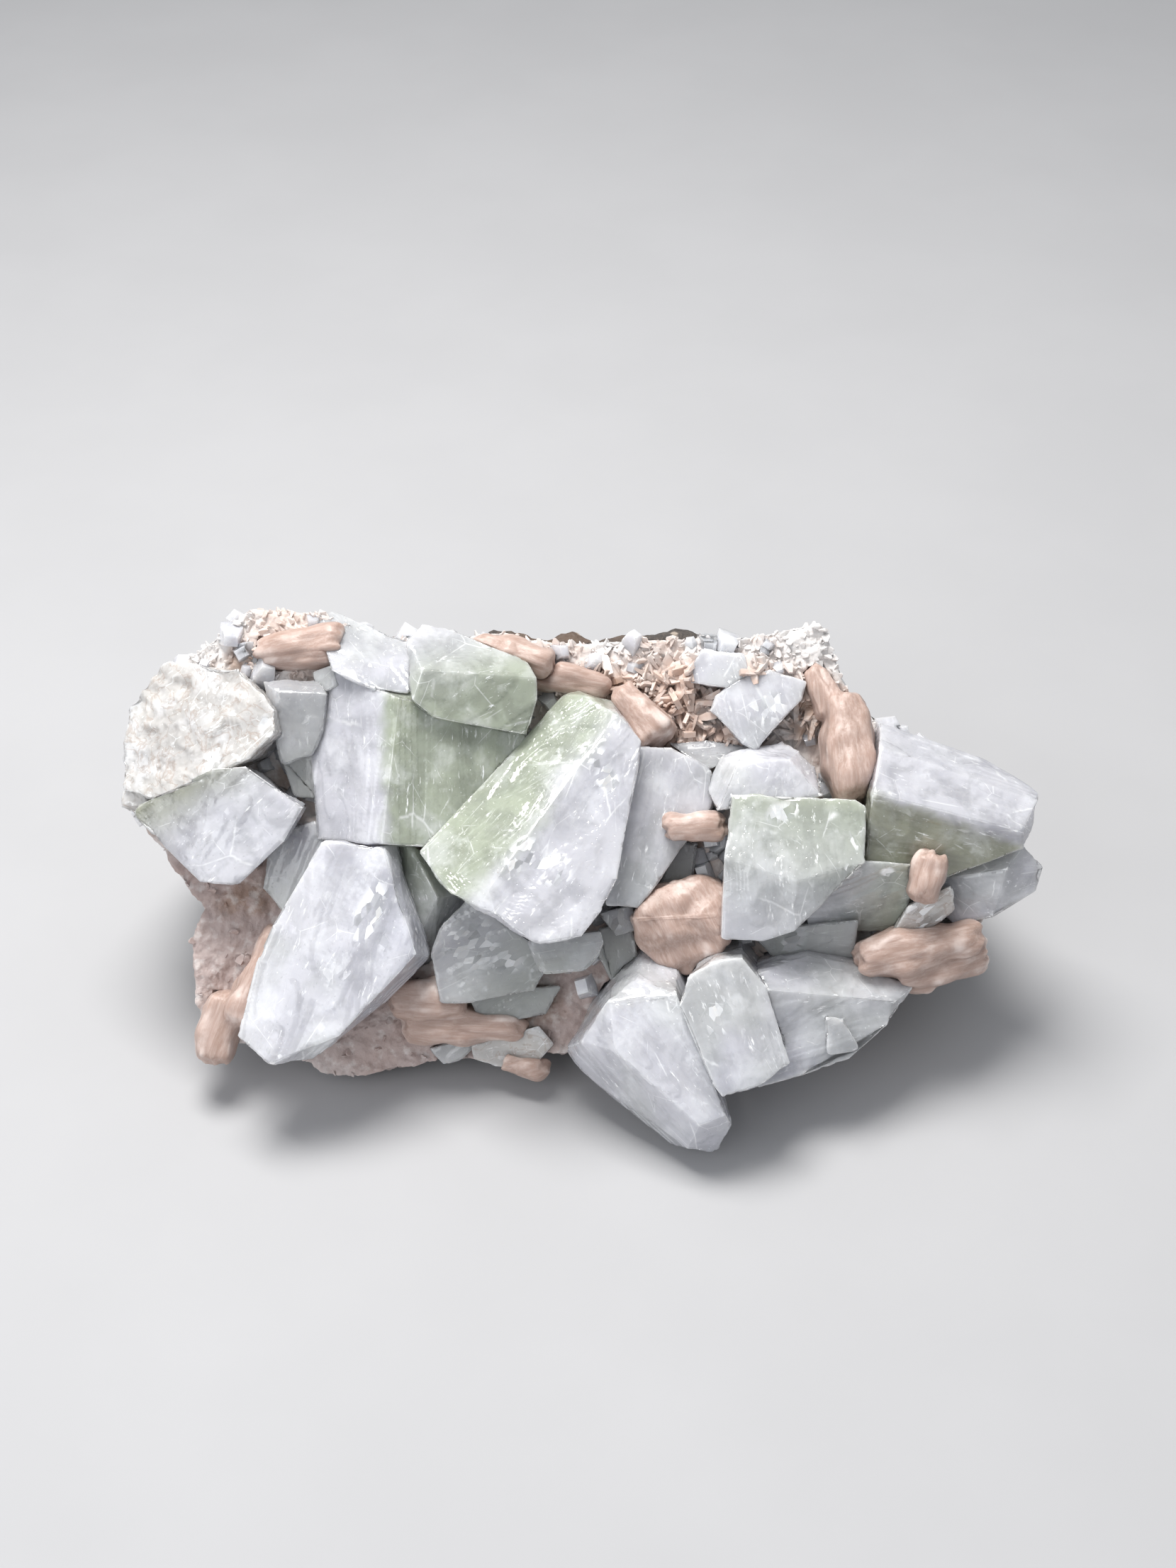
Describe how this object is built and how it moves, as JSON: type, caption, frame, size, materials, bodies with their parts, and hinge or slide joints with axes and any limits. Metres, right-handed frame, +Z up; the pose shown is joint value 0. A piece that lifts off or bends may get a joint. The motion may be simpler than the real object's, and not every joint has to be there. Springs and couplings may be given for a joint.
{
  "type": "apophyllite and stilbite mineral specimen",
  "caption": "Mineral specimen of blocky glassy green and white apophyllite crystals with peach stilbite sheaves on a zeolite crust over dark basalt, sawn flat underneath.",
  "frame": {"origin": "middle of the specimen's footprint box, on the sawn flat base", "axes": "+X along the specimen's length, to the right as the crystal face is looked at; -Y towards the viewer; +Z up. The crystal face leans back and looks up 40 degrees."},
  "size_m": [0.19, 0.1102, 0.0831],
  "materials": {
    "basalt": "dark brown-grey, broken and rough, sawn flat underneath",
    "zeolite_crust": "granular white to peach druse of small blades",
    "apophyllite_white": "milky, glassy to pearly faces with inner veils",
    "apophyllite_green": "pale grey-green and milky, glassy faces with growth lines",
    "apophyllite_clear": "colourless to smoky, see-through with bright fractures",
    "stilbite": "peach, pearly, fine ribs along the sheaf"
  },
  "bodies": {
    "root": {"basalt_matrix": "basalt", "zeolite_crust": "zeolite_crust", "long_green_crystal": "apophyllite_green", "kite_crystal": "apophyllite_white", "green_cap_crystal": "apophyllite_green", "green_block_crystal": "apophyllite_green", "right_block_crystal": "apophyllite_green", "slab_crystal": "apophyllite_white", "low_block_crystal": "apophyllite_white", "low_tablet_crystal": "apophyllite_white", "right_small_crystal": "apophyllite_green", "east_prism_crystal": "apophyllite_green", "east_point_crystal": "apophyllite_white", "pearly_end_crystal": "apophyllite_white", "olive_wedge_crystal": "apophyllite_green", "white_flank_crystal": "apophyllite_white", "pale_block_crystal": "apophyllite_white", "white_shoulder_crystal": "apophyllite_white", "clear_tablet_crystal": "apophyllite_clear", "olive_keel_crystal": "apophyllite_green", "fractured_clear_crystal": "apophyllite_clear", "small_clear_crystal": "apophyllite_clear", "diamond_crystal": "apophyllite_white", "rim_plate_crystal": "apophyllite_white", "grey_block_crystal": "apophyllite_clear", "grey_blade_crystal": "apophyllite_clear", "ledge_crystal": "apophyllite_clear", "pearly_patch_crystal": "apophyllite_white", "clear_sliver_crystal": "apophyllite_clear", "smoky_crystal": "apophyllite_clear", "clear_chip_crystal": "apophyllite_clear", "pink_tablet_crystal": "apophyllite_white", "foot_crystal": "apophyllite_clear", "centre_sheaf": "stilbite", "saddle_sheaf": "stilbite", "tall_sheaf": "stilbite", "fan_sheaf": "stilbite", "rim_sheaf": "stilbite", "hollow_sheaf": "stilbite", "crown_sheaf": "stilbite", "prism_sheaf": "stilbite", "right_foot_sheaf": "stilbite", "low_centre_sheaf": "stilbite", "left_foot_sheaf": "stilbite", "tail_sheaf": "stilbite"}
  },
  "joints": []
}
